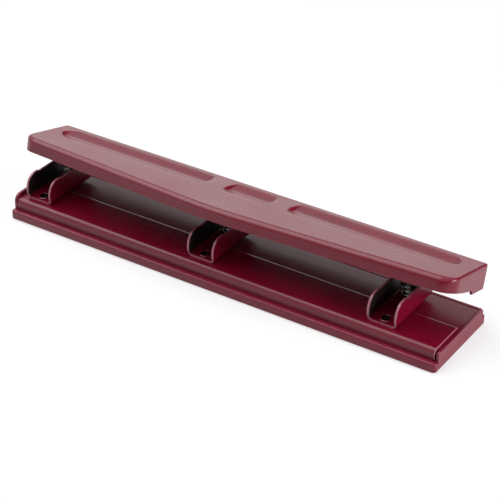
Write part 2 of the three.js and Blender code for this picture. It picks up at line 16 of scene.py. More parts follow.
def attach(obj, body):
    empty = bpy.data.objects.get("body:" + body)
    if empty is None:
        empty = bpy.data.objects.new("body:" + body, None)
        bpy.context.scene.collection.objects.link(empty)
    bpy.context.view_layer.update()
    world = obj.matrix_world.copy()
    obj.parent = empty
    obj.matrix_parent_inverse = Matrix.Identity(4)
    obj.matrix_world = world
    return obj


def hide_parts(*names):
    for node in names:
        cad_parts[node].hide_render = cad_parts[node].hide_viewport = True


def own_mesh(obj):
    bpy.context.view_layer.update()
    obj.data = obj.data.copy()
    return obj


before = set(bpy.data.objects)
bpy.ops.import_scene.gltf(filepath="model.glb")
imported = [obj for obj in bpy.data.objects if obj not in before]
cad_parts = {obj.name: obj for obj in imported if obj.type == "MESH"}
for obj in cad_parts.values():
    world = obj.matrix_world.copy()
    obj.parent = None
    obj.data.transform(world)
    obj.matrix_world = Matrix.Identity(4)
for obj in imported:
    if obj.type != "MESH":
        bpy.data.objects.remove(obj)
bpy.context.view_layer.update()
MM = 0.001

# %% [markdown]
# ## The camera
#
# The photograph looks down on the punch from the front right with a long lens, so its edges stay
# nearly parallel. A camera can be turned by three angles or aimed by a constraint. Here three unit
# vectors say how it is held: its right, its up, and the way back to it from the punch. They are the
# columns of its rotation, and the same helper hangs the lamps.

# %% Camera
CAMERA_PLACE = (0.4236, -0.6274, 0.4856)
AZIMUTH, ELEVATION = math.radians(33.49), math.radians(32.07)
SENSOR, FOCAL_PIXELS, PHOTO_PIXELS = 36.0, 1702.0, 500.0
NEAREST, FARTHEST = 0.05, 20.0


def hang(data, right, back, place):
    """Object for a camera or a lamp at a place in metres, held by its right and back vectors."""
    held = bpy.data.objects.new(data.name, data)
    bpy.context.scene.collection.objects.link(held)
    turn = np.eye(4)
    turn[:3] = np.stack([right, np.cross(back, right), back, place], axis=1)
    held.matrix_world = Matrix(turn.tolist())
    return held


camera_data = bpy.data.cameras.new("photo_camera")
camera_data.sensor_width = SENSOR
camera_data.lens = SENSOR * FOCAL_PIXELS / PHOTO_PIXELS
camera_data.clip_start, camera_data.clip_end = NEAREST, FARTHEST
camera_right = np.array([math.cos(AZIMUTH), math.sin(AZIMUTH), 0.0])
camera_back = np.array([
    math.sin(AZIMUTH) * math.cos(ELEVATION), -math.cos(AZIMUTH) * math.cos(ELEVATION), math.sin(ELEVATION),
])
camera = hang(camera_data, camera_right, camera_back, CAMERA_PLACE)
bpy.context.scene.camera = camera
bpy.context.scene.view_settings.view_transform = "Standard"
print("lens in mm:", round(camera_data.lens, 1))

# %% [markdown]
# ## Backdrop and light
#
# Satin enamel shows what it reflects, so what stands around the punch matters as much as the lamps.
# White cards could be hung round it, but then they would show in other views. So the world holds
# them. It gives the camera plain white. To reflections it is a tall bright wall on the left, with a
# dimmer band across it, then a dark room, with a bright ceiling far above it. The band is what draws
# two thin lines along each pocket. To all else the world is one weak grey, which reaches every side.

# %% Node helpers
WHITE = (1, 1, 1, 1)


def link(tree, start, end):
    """Joins an output socket to an input socket."""
    tree.links.new(start, end)


def add_node(tree, kind, inputs=(), **settings):
    """New node of a kind, with its settings and the values of the inputs that are named."""
    node = tree.nodes.new(kind)
    for name, value in settings.items():
        setattr(node, name, value)
    for socket, value in dict(inputs).items():
        node.inputs[socket].default_value = value
    return node


def slope_of(tree, value, span, start, end):
    """Smooth slope: start where the value is below the span, end where it is above it."""
    limits = {"From Min": span[0], "From Max": span[1], "To Min": start, "To Max": end}
    slope = add_node(tree, "ShaderNodeMapRange", limits, interpolation_type="SMOOTHSTEP")
    link(tree, value, slope.inputs["Value"])
    return slope.outputs["Result"]


print("white, as a colour socket takes it:", WHITE)

# %% World
ROOM_LIGHT, DARK_ROOM, CEILING = 0.28, 0.1, 0.85
WALL_LOW, WALL_BAND, WALL_HIGH = 1.4, 0.5, 0.95
INTO_BAND, OUT_OF_BAND = (0.17, 0.28), (0.36, 0.46)
INTO_CEILING, OFF_THE_WALL = (0.58, 0.72), (-0.3, -0.1)


def light_world():
    """World: white to the camera, a bright wall and a ceiling to glossy rays, one grey to the rest."""
    world = bpy.data.worlds.new("studio")
    bpy.context.scene.world = world
    world.use_nodes = True
    tree = world.node_tree
    tree.nodes.clear()
    path = add_node(tree, "ShaderNodeLightPath")
    way = add_node(tree, "ShaderNodeTexCoord")
    split = add_node(tree, "ShaderNodeSeparateXYZ")
    link(tree, way.outputs["Generated"], split.inputs[0])
    height = split.outputs["Z"]
    room, wall, ceiling, white = (add_node(tree, "ShaderNodeBackground", {"Color": WHITE}) for _ in range(4))
    room.inputs["Strength"].default_value = ROOM_LIGHT
    wall_light = add_node(tree, "ShaderNodeMath", operation="ADD")
    link(tree, slope_of(tree, height, INTO_BAND, WALL_LOW, WALL_BAND), wall_light.inputs[0])
    link(tree, slope_of(tree, height, OUT_OF_BAND, 0.0, WALL_HIGH - WALL_BAND), wall_light.inputs[1])
    link(tree, wall_light.outputs[0], wall.inputs["Strength"])
    link(tree, slope_of(tree, height, INTO_CEILING, DARK_ROOM, CEILING), ceiling.inputs["Strength"])
    to_left, for_gloss, for_camera = (add_node(tree, "ShaderNodeMixShader") for _ in range(3))
    for mix, share, first, second in (
        (to_left, slope_of(tree, split.outputs["X"], OFF_THE_WALL, 0.0, 1.0), wall, ceiling),
        (for_gloss, path.outputs["Is Glossy Ray"], room, to_left),
        (for_camera, path.outputs["Is Camera Ray"], for_gloss, white),
    ):
        link(tree, share, mix.inputs["Fac"])
        link(tree, first.outputs[0], mix.inputs[1])
        link(tree, second.outputs[0], mix.inputs[2])
    output = add_node(tree, "ShaderNodeOutputWorld")
    link(tree, for_camera.outputs[0], output.inputs["Surface"])


light_world()
print("strength of the wall below, in and above the band:", WALL_LOW, WALL_BAND, WALL_HIGH)

# %% [markdown]
# ### Lamps
#
# Two soft boxes light the punch: a wide one high on the left, and a small one lower on the right. A
# lamp in front would be easier, but in the photograph the insides of the heads are dark, so none
# stands there.

# %% Lamps
LEFT_PLACE, LEFT_SIZE, LEFT_POWER = (-0.42, 0.0, 0.91), 1.0, 8.0
RIGHT_PLACE, RIGHT_SIZE, RIGHT_POWER = (0.94, 0.0, 0.33), 0.32, 6.1


def unit(vectors):
    """Vectors divided by their lengths."""
    return vectors / np.linalg.norm(vectors, axis=-1, keepdims=True)


def hang_lamp(name, place, size, power):
    """Square soft box at a place, turned to the punch, which stands at the origin."""
    data = bpy.data.lights.new(name, "AREA")
    data.size, data.energy = size, power
    back = unit(np.array(place))
    hang(data, unit(np.cross((0, 1, 0), back)), back, place)


hang_lamp("left_box", LEFT_PLACE, LEFT_SIZE, LEFT_POWER)
hang_lamp("right_box", RIGHT_PLACE, RIGHT_SIZE, RIGHT_POWER)
print("power of the left and the right lamp:", LEFT_POWER, RIGHT_POWER)

# %% [markdown]
# ## Surfaces from grids
#
# Most pieces here are a sheet or a turned form. They could be made by editing primitives, but then
# their lengths would be lost in the edits. So they are grids of points whose rows and columns may
# close on themselves. Faces come from index arithmetic on whole arrays.

# %% Grid helpers
MERGE_DISTANCE = MM / 1000


def grid_faces(rows, columns, close_rows=False, close_columns=False):
    """Corner indices of the quads between neighbouring points of a grid."""
    row = np.arange(rows if close_rows else rows - 1)
    column = np.arange(columns if close_columns else columns - 1)
    r, c = np.meshgrid(row, column, indexing="ij")
    r_next, c_next = (r + 1) % rows, (c + 1) % columns
    corners = (r * columns + c, r * columns + c_next, r_next * columns + c_next, r_next * columns + c)
    return np.stack(corners, axis=-1).reshape(-1, 4)


def add_object(name, mesh):
    """Object at the origin for a mesh, shaded smooth."""
    mesh.polygons.foreach_set("use_smooth", np.ones(len(mesh.polygons), dtype=bool))
    made = bpy.data.objects.new(name, mesh)
    bpy.context.scene.collection.objects.link(made)
    return made


def make_object(name, points, faces):
    """Object whose mesh has these points, given in millimetres, and these faces."""
    mesh = bpy.data.meshes.new(name)
    mesh.from_pydata((points.reshape(-1, 3) * MM).tolist(), [], faces.tolist())
    return add_object(name, mesh)


def formed_piece(name, grid, centre=(0, 0, 0), ring=False):
    """Object from a grid with closed columns, moved to its centre. Its seams and poles are merged."""
    faces = grid_faces(*grid.shape[:2], close_rows=ring, close_columns=True)
    piece = make_object(name, grid + centre, faces)
    form = bmesh.new()
    form.from_mesh(piece.data)
    bmesh.ops.remove_doubles(form, verts=form.verts, dist=MERGE_DISTANCE)
    form.to_mesh(piece.data)
    form.free()
    return piece


print("faces between 3 by 4 points:", len(grid_faces(3, 4)))

# %% [markdown]
# ## Copies, edges and seats
#
# Some outlines come from cutting and joining, so those pieces keep the construction model's shape.
# Such a mesh is loose triangles. A copy has its corners merged and its flat areas joined, so that a
# bevel can find its edges. Every finished piece is then seated: it rides a body, stands for its
# nodes, and gets its materials.

# %% Copies, edges and seats
FLAT_ANGLE, CORNER_ANGLE = 0.5, 30


def round_edges(piece, width, steps, angle=CORNER_ANGLE, slot=-1):
    """Rounds every edge that turns by more than an angle in degrees; the slot picks its material."""
    bevel = piece.modifiers.new("rounded_edges", "BEVEL")
    bevel.width = width * MM
    bevel.segments = steps
    bevel.limit_method = "ANGLE"
    bevel.angle_limit = math.radians(angle)
    bevel.harden_normals = True
    bevel.material = slot


def sheet_thickness(piece, thickness):
    """Gives a skin the thickness of its sheet, inwards from the side that is seen."""
    solid = piece.modifiers.new("sheet_thickness", "SOLIDIFY")
    solid.thickness = thickness * MM
    solid.offset = -1
    solid.use_quality_normals = True


def tidy_copy(node, name, edge, steps=2, slot=-1):
    """Copy of a construction node: corners merged, flat areas joined, edges rounded by a bevel."""
    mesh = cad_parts[node].data.copy()
    mesh.name = name
    form = bmesh.new()
    form.from_mesh(mesh)
    bmesh.ops.remove_doubles(form, verts=form.verts, dist=MERGE_DISTANCE)
    flat = math.radians(FLAT_ANGLE)
    bmesh.ops.dissolve_limit(form, angle_limit=flat, verts=form.verts, edges=form.edges)
    form.to_mesh(mesh)
    form.free()
    mesh.materials.clear()
    copy = add_object(name, mesh)
    mesh.set_sharp_from_angle(angle=math.radians(CORNER_ANGLE))
    round_edges(copy, edge, steps, slot=slot)
    return copy


def seat(piece, body, nodes, slot, *materials):
    """Gives a finished piece its body, the nodes that it stands for and its materials; the slot is not used.
    """
    piece.data.materials.clear()
    for material in materials:
        piece.data.materials.append(material)
    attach(piece, body)
    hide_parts(*nodes)


print("corners sharper than", CORNER_ANGLE, "degrees are rounded")

# %% [markdown]
# ## Finishes
#
# The sheet pieces are dipped or sprayed in one burgundy enamel, baked to a satin gloss. A plain
# colour would look like plastic. Real enamel holds a fine orange peel, and its gloss changes slowly
# where hands and cloths have been. One node group gives both, and every finish here is that group
# with its own colours, roughness and peel.

# %% Film group
COLOUR, NUMBER, VECTOR = "NodeSocketColor", "NodeSocketFloat", "NodeSocketVector"
FILM_SOCKETS = {
    "INPUT": {"Colour": COLOUR, "Light Colour": COLOUR, "Roughness": NUMBER, "Peel": NUMBER},
    "OUTPUT": {"Colour": COLOUR, "Roughness": NUMBER, "Normal": VECTOR},
}
PEEL_SCALE, PEEL_DETAIL, PEEL_HEIGHT = 900.0, 2.0, 0.00003
MOTTLE_SCALE, MOTTLE_DETAIL, MOTTLE_LOW, MOTTLE_HIGH = 28.0, 4.0, 0.3, 0.7
RUBBED_ROUGHNESS = 0.06


def film_group():
    """Node group: noise on Object coordinates mixes two colours, adds roughness and ripples the normal."""
    group = bpy.data.node_groups.new("enamel_film", "ShaderNodeTree")
    for side, sockets in FILM_SOCKETS.items():
        for name, kind in sockets.items():
            group.interface.new_socket(name, in_out=side, socket_type=kind)
    inside, outside = add_node(group, "NodeGroupInput"), add_node(group, "NodeGroupOutput")
    place = add_node(group, "ShaderNodeTexCoord")
    peel = add_node(group, "ShaderNodeTexNoise", {"Scale": PEEL_SCALE, "Detail": PEEL_DETAIL})
    mottle = add_node(group, "ShaderNodeTexNoise", {"Scale": MOTTLE_SCALE, "Detail": MOTTLE_DETAIL})
    spread = add_node(group, "ShaderNodeMapRange", {"From Min": MOTTLE_LOW, "From Max": MOTTLE_HIGH})
    blend = add_node(group, "ShaderNodeMix", data_type="RGBA")
    rough = add_node(group, "ShaderNodeMath", {1: RUBBED_ROUGHNESS}, operation="MULTIPLY_ADD")
    bump = add_node(group, "ShaderNodeBump", {"Distance": PEEL_HEIGHT})
    for start, end in (
        (place.outputs["Object"], peel.inputs["Vector"]),
        (place.outputs["Object"], mottle.inputs["Vector"]),
        (mottle.outputs["Fac"], spread.inputs["Value"]),
        (spread.outputs["Result"], blend.inputs["Factor"]),
        (inside.outputs["Colour"], blend.inputs["A"]),
        (inside.outputs["Light Colour"], blend.inputs["B"]),
        (spread.outputs["Result"], rough.inputs[0]),
        (inside.outputs["Roughness"], rough.inputs[2]),
        (peel.outputs["Fac"], bump.inputs["Height"]),
        (inside.outputs["Peel"], bump.inputs["Strength"]),
        (blend.outputs["Result"], outside.inputs["Colour"]),
        (rough.outputs[0], outside.inputs["Roughness"]),
        (bump.outputs[0], outside.inputs["Normal"]),
    ):
        link(group, start, end)
    return group


FILM = film_group()
print("outputs of the film group:", *FILM_SOCKETS["OUTPUT"])

# %% [markdown]
# ### The finishes of this punch
#
# Burgundy enamel covers the sheet, but a dipped sheet is never the same all over. Paint draws back
# from a cut edge, so there the enamel is thin and a little lighter; the edge colour here is far
# lighter still, a painted highlight. The inner walls of the heads get a near-black colour, painted
# shade for the shadow that they lie in. A mask could be painted by hand for that. Here whole faces and
# bevels get a second or third material, which stays crisp at any size. The tray is moulded in the
# same colour, with less gloss. Pins and hinge rivets are bare ground steel, springs and washers are
# zinc plated, and the bores of the rivets get a near-black colour, painted shade for a deep hole.

# %% Finishes


def film_material(name, colour, light_colour, roughness, peel, metallic=0.0):
    """Material whose colour, roughness and normal come from the film group."""
    material = bpy.data.materials.new(name)
    material.use_nodes = True
    tree = material.node_tree
    shader = tree.nodes["Principled BSDF"]
    shader.inputs["Metallic"].default_value = metallic
    film = tree.nodes.new("ShaderNodeGroup")
    film.node_tree = FILM
    for socket, value in (
        ("Colour", (*colour, 1)), ("Light Colour", (*light_colour, 1)),
        ("Roughness", roughness), ("Peel", peel),
    ):
        film.inputs[socket].default_value = value
    for output, socket in (("Colour", "Base Color"), ("Roughness", "Roughness"), ("Normal", "Normal")):
        link(tree, film.outputs[output], shader.inputs[socket])
    return material


BURGUNDY, LIGHT_BURGUNDY = (0.17, 0.0008, 0.016), (0.186, 0.0012, 0.019)
ENAMEL = film_material("burgundy_enamel", BURGUNDY, LIGHT_BURGUNDY, 0.26, 0.25)
# The edge colour is far lighter than the enamel: thin enamel with a painted highlight.
EDGE_ENAMEL_HIGHLIGHT = film_material("thin_enamel_and_painted_highlight_on_edges", (0.42, 0.14, 0.19), (0.5, 0.18, 0.24), 0.2, 0.1)
# Painted shade: a near-black colour for the inner walls of the heads, which lie in shadow.
INNER_WALL_SHADE = film_material("painted_shade_on_inner_walls", (0.012, 0.006, 0.007), (0.018, 0.01, 0.011), 0.4, 0.3)
MOULDING = film_material("burgundy_moulding", (0.185, 0.004, 0.024), (0.21, 0.006, 0.03), 0.36, 0.5)
STEEL = film_material("ground_steel", (0.55, 0.55, 0.56), (0.62, 0.62, 0.63), 0.22, 0.1, metallic=1.0)
ZINC = film_material("plated_wire", (0.6, 0.64, 0.58), (0.7, 0.74, 0.68), 0.25, 0.1, metallic=1.0)
# Painted shade: a near-black colour for the inside of the rivet bores.
BORE_SHADE = film_material("painted_shade_in_bore", (0.03, 0.03, 0.03), (0.05, 0.05, 0.048), 0.3, 0.1, metallic=1.0)
RUBBER = film_material("foot_rubber", (0.012, 0.012, 0.013), (0.02, 0.02, 0.021), 0.7, 0.6)
print("linear red, green and blue of the enamel:", BURGUNDY)

# %% [markdown]
# ## The lever cover
#
# On the real punch this is one long pressing: a flat top, a soft edge along the front, a tighter one
# along the ends and the back, and walls that deepen towards two ears. It could be cut from a box with
# bevels, but then the pressed pockets would need cutters and their slopes would stay hard. So the
# skin is worked out as one surface. Its plan is a closed run of points. Each point of the run carries
# a line that climbs the wall, turns over the edge and crosses the top to a spine in the middle. The
# pockets are a height that is taken away from the top, and a Solidify modifier gives the sheet its
# thickness. All lengths are given with the lever level and the hinge line at zero.

# %% Plan of the lever
LEVER_LEFT, LEVER_RIGHT = -134.2, 131.3
LEVER_MIDDLE = (LEVER_LEFT + LEVER_RIGHT) / 2
LEVER_REAR, CORNER_FRONT, APEX_FRONT = 6.0, -33.7, -46.6
FRONT_RADIUS, REAR_RADIUS, APEX_RADIUS = 9.0, 1.6, 180.0
FRONT_ARC_STEPS, REAR_ARC_STEPS = 17, 7
SPINE_INSET, SPINE_PLACE = 10.0, -19.0
EAR_FRONT, EAR_SLANT = -9.0, 0.3
POCKET_SPANS = ((-126.8, -26.9, 4.0, 0.6), (-15.8, 13.2, 0.6, 0.6), (23.9, 122.4, 0.6, 4.0))
POCKET_END_SLOPE = 1.8
COARSE_LINES, FINE_STEP, CLOSEST_LINES = 110, 0.35, 0.2
CORNER_STEP, END_STEP = 0.6, 0.8


def front_line(x):
    """Front edge: two straight runs that fall back from the middle, joined there by a long arc."""
    across = np.abs(x - LEVER_MIDDLE)
    rise = (CORNER_FRONT - APEX_FRONT) / (LEVER_RIGHT - LEVER_MIDDLE)
    lean = math.atan(rise)
    arc_centre = APEX_FRONT + APEX_RADIUS / math.cos(lean)
    arc = arc_centre - np.sqrt(APEX_RADIUS**2 - np.minimum(across, APEX_RADIUS)**2)
    return np.where(across < APEX_RADIUS * math.sin(lean), arc, APEX_FRONT + rise * across)


def corner_arc(before, corner, after, radius, steps):
    """Arc that rounds a corner: it touches both sides, and its centre lies on the line that halves them."""
    before, corner, after = (np.array(point, dtype=float) for point in (before, corner, after))
    back, ahead = unit(before - corner), unit(after - corner)
    half = math.acos(back @ ahead) / 2
    centre = corner + unit(back + ahead) * radius / math.sin(half)
    start = corner + back * radius / math.tan(half) - centre
    end = corner + ahead * radius / math.tan(half) - centre
    share = np.linspace(0, 1, steps)[:, None]
    turn = math.pi - 2 * half
    return centre + (np.sin((1 - share) * turn) * start + np.sin(share * turn) * end) / math.sin(turn)


def straight(start, end, step):
    """Points on a straight run, without its two ends."""
    start, end = np.array(start, dtype=float), np.array(end, dtype=float)
    count = max(2, int(round(np.linalg.norm(end - start) / step)) + 1)
    return start + np.linspace(0, 1, count)[1:-1, None] * (end - start)


def lever_lines():
    """Places of the lines across the lever: even ones, and close ones over the ends of each pocket."""
    first, last = LEVER_LEFT + SPINE_INSET, LEVER_RIGHT - SPINE_INSET
    runs = [np.linspace(first, last, COARSE_LINES)]
    for left, right, left_round, right_round in POCKET_SPANS:
        runs.append(np.arange(left, left + left_round + POCKET_END_SLOPE, FINE_STEP))
        runs.append(np.arange(right, right - right_round - POCKET_END_SLOPE, -FINE_STEP))
    lines = np.sort(np.concatenate(runs))
    lines = lines[(lines > first) & (lines < last)]
    apart = np.diff(lines, prepend=first) > CLOSEST_LINES
    return np.concatenate([[first], lines[apart], [last]])


def lever_plan():
    """Closed plan: back edge, left end, front edge and right end; the ends are mirror images."""
    lines = lever_lines()
    rear = np.stack([lines[::-1], np.full_like(lines, LEVER_REAR)], axis=1)
    front = np.stack([lines, front_line(lines)], axis=1)
    outer_rear, outer_front = (LEVER_LEFT, LEVER_REAR), (LEVER_LEFT, CORNER_FRONT)
    rear_arc = corner_arc(rear[-1], outer_rear, outer_front, REAR_RADIUS, REAR_ARC_STEPS)
    front_arc = corner_arc(outer_rear, outer_front, front[0], FRONT_RADIUS, FRONT_ARC_STEPS)
    ear = [(LEVER_LEFT, EAR_FRONT + EAR_SLANT), (LEVER_LEFT, EAR_FRONT - EAR_SLANT)]
    left = np.concatenate([
        straight(rear[-1], rear_arc[0], CORNER_STEP), rear_arc,
        straight(rear_arc[-1], ear[0], END_STEP), ear, straight(ear[1], front_arc[0], END_STEP),
        front_arc, straight(front_arc[-1], front[0], CORNER_STEP),
    ])
    right = left[::-1] * (-1, 1) + (2 * LEVER_MIDDLE, 0)
    return np.concatenate([rear, left, front, right])


PLAN = lever_plan()
print("points round the lever's plan:", len(PLAN))

# %% [markdown]
# ### Pockets and lower edge
#
# Each pocket is a lopsided dish: it drops from the back and comes up slowly towards the front. The
# two ends that lie near the lever's own ends are round, as a parabola is round, and the four between
# them are nearly straight. Sculpting would leave ripples in such a long dish, and a formula leaves
# none. The walls are shallow at the front. Along the ends they deepen in a soft curve, and then step
# down to the ears.

# %% Pockets and walls
POCKET_DEPTH = 1.4
POCKET_BACK, POCKET_DEEPEST, POCKET_FRONT = 2.4, -8.6, -18.0
POCKET_WIDEST, POCKET_HALF = -7.0, 6.0
WALL_PLACES = (-44.0, -37.0, -28.5, -19.6, -9.0)
WALL_DEPTHS = (7.0, 7.5, 7.7, 9.6, 11.1)
EAR_DEPTH = 13.2
WALL_BLUR = np.linspace(-3, 3, 13)


def smooth(value):
    """Goes from 0 to 1 as the value does, level at both ends: three squares less two cubes."""
    value = np.clip(value, 0, 1)
    return value * value * (3 - 2 * value)


def pocket_depth(x, y):
    """Depth of the pockets: a fall times a slow rise across, times a slope at each rounded end."""
    fall = smooth((POCKET_BACK - y) / (POCKET_BACK - POCKET_DEEPEST))
    rise = smooth((y - POCKET_FRONT) / (POCKET_DEEPEST - POCKET_FRONT))
    draw = ((y - POCKET_WIDEST) / POCKET_HALF)**2
    along = sum(
        smooth((x - left - left_round * draw) / POCKET_END_SLOPE)
        * smooth((right - right_round * draw - x) / POCKET_END_SLOPE)
        for left, right, left_round, right_round in POCKET_SPANS
    )
    return POCKET_DEPTH * fall * rise * along


def wall_depth(y):
    """Height of the walls: a table of places and depths, blurred by a mean over nearby places."""
    curve = np.interp(y[:, None] + WALL_BLUR, WALL_PLACES, WALL_DEPTHS).mean(axis=1)
    return np.where(y > EAR_FRONT, EAR_DEPTH, curve)


print("depth of the first pocket at its middle:", round(float(pocket_depth(-76.0, POCKET_DEEPEST)), 2))

# %% Lever skin
HINGE = (18.3, 19.8)
LEVER_TILT = math.radians(15)
LEVER_TOP, LEVER_SHEET = 16.4, 1.2
FRONT_EDGE, REAR_EDGE = 3.1, 1.3
FRONT_FACING, EDGE_CHANGE = -0.95, 0.6
WALL_ROWS, EDGE_ROWS, TOP_ROWS = 5, 8, 46
CUT_EDGE, CUT_EDGE_ANGLE = 0.3, 50


def lever_skin():
    """Rows climb the wall, follow a quarter circle over the edge, then close in on the spine."""
    way = unit(np.roll(PLAN, -1, axis=0) - np.roll(PLAN, 1, axis=0))
    outward = np.stack([way[:, 1], -way[:, 0]], axis=1)
    radius = FRONT_EDGE + (REAR_EDGE - FRONT_EDGE) * smooth((outward[:, 1] - FRONT_FACING) / EDGE_CHANGE)
    low = LEVER_TOP - wall_depth(PLAN[:, 1])
    climb = np.linspace(0, 1, WALL_ROWS, endpoint=False)[:, None]
    wall_z = low + climb * (LEVER_TOP - radius - low)
    wall_x, wall_y = (np.broadcast_to(PLAN[:, axis], wall_z.shape) for axis in (0, 1))
    turn = np.linspace(0, math.pi / 2, EDGE_ROWS)[:, None]
    inset = radius * (1 - np.cos(turn))
    edge_x, edge_y = (PLAN[:, axis] - inset * outward[:, axis] for axis in (0, 1))
    edge = np.dstack([edge_x, edge_y, LEVER_TOP - radius * (1 - np.sin(turn))])
    spine_x = np.clip(PLAN[:, 0], LEVER_LEFT + SPINE_INSET, LEVER_RIGHT - SPINE_INSET)
    spine = np.stack([spine_x, np.full_like(spine_x, SPINE_PLACE), np.full_like(spine_x, LEVER_TOP)], axis=1)
    cross = np.linspace(0, 1, TOP_ROWS + 1)[1:, None, None]
    top = edge[-1] + cross * (spine - edge[-1])
    points = np.concatenate([np.dstack([wall_x, wall_y, wall_z]), edge, top])
    points[..., 2] -= pocket_depth(points[..., 0], points[..., 1])
    return points


def at_rest(points):
    """Turns points from the level lever about the hinge line to where it stands at rest."""
    x, y, z = np.moveaxis(points, -1, 0)
    cos, sin = math.cos(LEVER_TILT), math.sin(LEVER_TILT)
    return np.stack([x, HINGE[0] + y * cos + z * sin, HINGE[1] - y * sin + z * cos], axis=-1)


lever = formed_piece("lever_cover_skin", at_rest(lever_skin()))
sheet_thickness(lever, LEVER_SHEET)
round_edges(lever, CUT_EDGE, 2, CUT_EDGE_ANGLE)
seat(lever, "lever", ["lever_cover"], "painted_sheet", ENAMEL)
print("lever cover faces before the sheet gets its thickness:", len(lever.data.polygons))

# %% [markdown]
# ## Front plate
#
# The front plate is one strip of sheet, folded down over the front of the tray. It could be two boxes
# and a bevel, but a folded strip is simply a line carried sideways: the line runs along the deck,
# round the bend and down the lip. Where the plate was sheared off, its edge droops a little, and a
# bevel softens the cut. That is where the light catches. The bevel's colour is partly thin enamel and
# partly a painted highlight.

# %% Front plate
FRONT_SHEET, FRONT_BEND, BEND_STEPS = 1.2, 3.1, 17
DECK_TOP, STOP_LINE, LIP_FACE, LIP_LOW = 11.6, 0.5, -23.4, 5.7
PLATE_LEFT, PLATE_RIGHT = -130.0, 130.2
DROOP, DROOP_REACH, DROOP_STEPS = 0.3, 1.8, 6
STRIP_EDGE, STRIP_EDGE_ANGLE = 0.5, 40


def plate_line():
    """Line (y, z) of the plate: up the lip, round the bend, along the deck, down the droop's parabola."""
    deck_end, fold, lip_end = (STOP_LINE, DECK_TOP), (LIP_FACE, DECK_TOP), (LIP_FACE, LIP_LOW)
    bend = corner_arc(deck_end, fold, lip_end, FRONT_BEND, BEND_STEPS)
    share = np.linspace(0, 1, DROOP_STEPS)[:, None]
    drooping_edge = deck_end - share**2 * (0, DROOP) - (1 - share) * (DROOP_REACH, 0)
    return np.concatenate([[lip_end], bend[::-1], drooping_edge])


def carried_sideways(line, left, right):
    """Grid in which every point of a line (y, z) is carried from the left end to the right end."""
    x = np.broadcast_to(np.array([left, right]), (len(line), 2))
    y, z = (np.broadcast_to(line[:, axis, None], x.shape) for axis in (0, 1))
    return np.stack([x, y, z], axis=-1)


strip = carried_sideways(plate_line(), PLATE_LEFT, PLATE_RIGHT)
front_plate = make_object("front_plate_sheet", strip, grid_faces(*strip.shape[:2]))
sheet_thickness(front_plate, FRONT_SHEET)
# The bevel's faces take the edge colour, a painted highlight on thin enamel.
round_edges(front_plate, STRIP_EDGE, 3, STRIP_EDGE_ANGLE, slot=1)
seat(front_plate, "base", ["front_plate"], "painted_sheet", ENAMEL, EDGE_ENAMEL_HIGHLIGHT)
print("points along the front plate's line:", len(strip))

# %% [markdown]
# ## Die plate and tray
#
# The die plate and the tray have holes, walls and lugs that come from cutting and joining, so these
# two keep the construction model's shape. Only the corners on both sides of the groove between them
# are drawn tighter, because a wide dark groove would show there and the real one is a hairline. To
# move a few points is safer for that than to cut again.

# %% Die plate and tray
BASE_EDGE = 0.3
FOLD_CENTRE, FOLD_RADIUS, TIGHT_FOLD = (19.3, 8.4), 2.0, 0.7
WALL_CENTRE, WALL_RADIUS, TIGHT_WALL = (22.3, 9.7), 0.7, 0.2
ON_ARC, THINNEST = 0.01, 0.05


def tighten_corner(piece, centre, radius, tight_radius, side):
    """Moves the points of a rounded top corner (y, z), on one side, onto a smaller arc in that corner."""
    points = np.empty(len(piece.data.vertices) * 3)
    piece.data.vertices.foreach_get("co", points)
    points = points.reshape(-1, 3)
    offset = (points[:, 1:] / MM - centre) * (side, 1)
    inside = (offset > -ON_ARC).all(axis=1) & (np.hypot(*offset.T) < radius + ON_ARC)
    angle = np.arctan2(offset[:, 1], offset[:, 0])
    reach = np.maximum(np.hypot(*offset.T) - radius + tight_radius, THINNEST)
    moved = reach[:, None] * np.stack([np.cos(angle), np.sin(angle)], axis=1) + radius - tight_radius
    points[inside, 1:] = (moved[inside] * (side, 1) + centre) * MM
    piece.data.vertices.foreach_set("co", points.reshape(-1))
    piece.data.update()


die_plate = tidy_copy("die_plate", "die_plate_sheet", BASE_EDGE)
tighten_corner(die_plate, FOLD_CENTRE, FOLD_RADIUS, TIGHT_FOLD, 1)
seat(die_plate, "base", ["die_plate"], "painted_sheet", ENAMEL)
tray = tidy_copy("chip_tray", "tray_moulding", BASE_EDGE)
tighten_corner(tray, WALL_CENTRE, WALL_RADIUS, TIGHT_WALL, -1)
seat(tray, "base", ["chip_tray"], "moulded_base", MOULDING)
print("faces of the die plate and the tray:", len(die_plate.data.polygons), len(tray.data.polygons))

# %% [markdown]
# ## Turned pieces
#
# Rivets, washers, hinge pins, punch pins and feet are all round, as they come off a lathe, a heading
# machine or out of a round mould. Blender's Screw modifier could turn them. One helper that carries a
# profile round its axis does the same, and its points can still be moved. Each profile is a list of
# radius and height. It starts and ends on the axis, or closes on itself for a ring.

# %% Turned form helper
TURN_STEPS = 64
HEADS = {"left": -118.0, "middle": -10.0, "right": 98.0}
HOLE_ROW = 10.0


def carried_round(profile, lying=False):
    """Grid of a turned form: radius times cosine and sine of the angle, with the height kept."""
    profile = np.array(profile, dtype=float)
    angle = np.linspace(0, 2 * math.pi, TURN_STEPS, endpoint=False)
    across, along = profile[:, 0, None] * np.cos(angle), profile[:, 0, None] * np.sin(angle)
    height = np.broadcast_to(profile[:, 1, None], across.shape)
    return np.stack((height, across, along) if lying else (across, along, height), axis=-1)


def edged_piece(name, grid, centre, edge, steps=3, angle=CORNER_ANGLE, ring=False):
    """Formed piece whose corners stay crisp and are rounded by a small bevel."""
    piece = formed_piece(name, grid, centre, ring)
    piece.data.set_sharp_from_angle(angle=math.radians(CORNER_ANGLE))
    round_edges(piece, edge, steps, angle)
    return piece


print("heads along the row of holes, in mm:", HEADS)
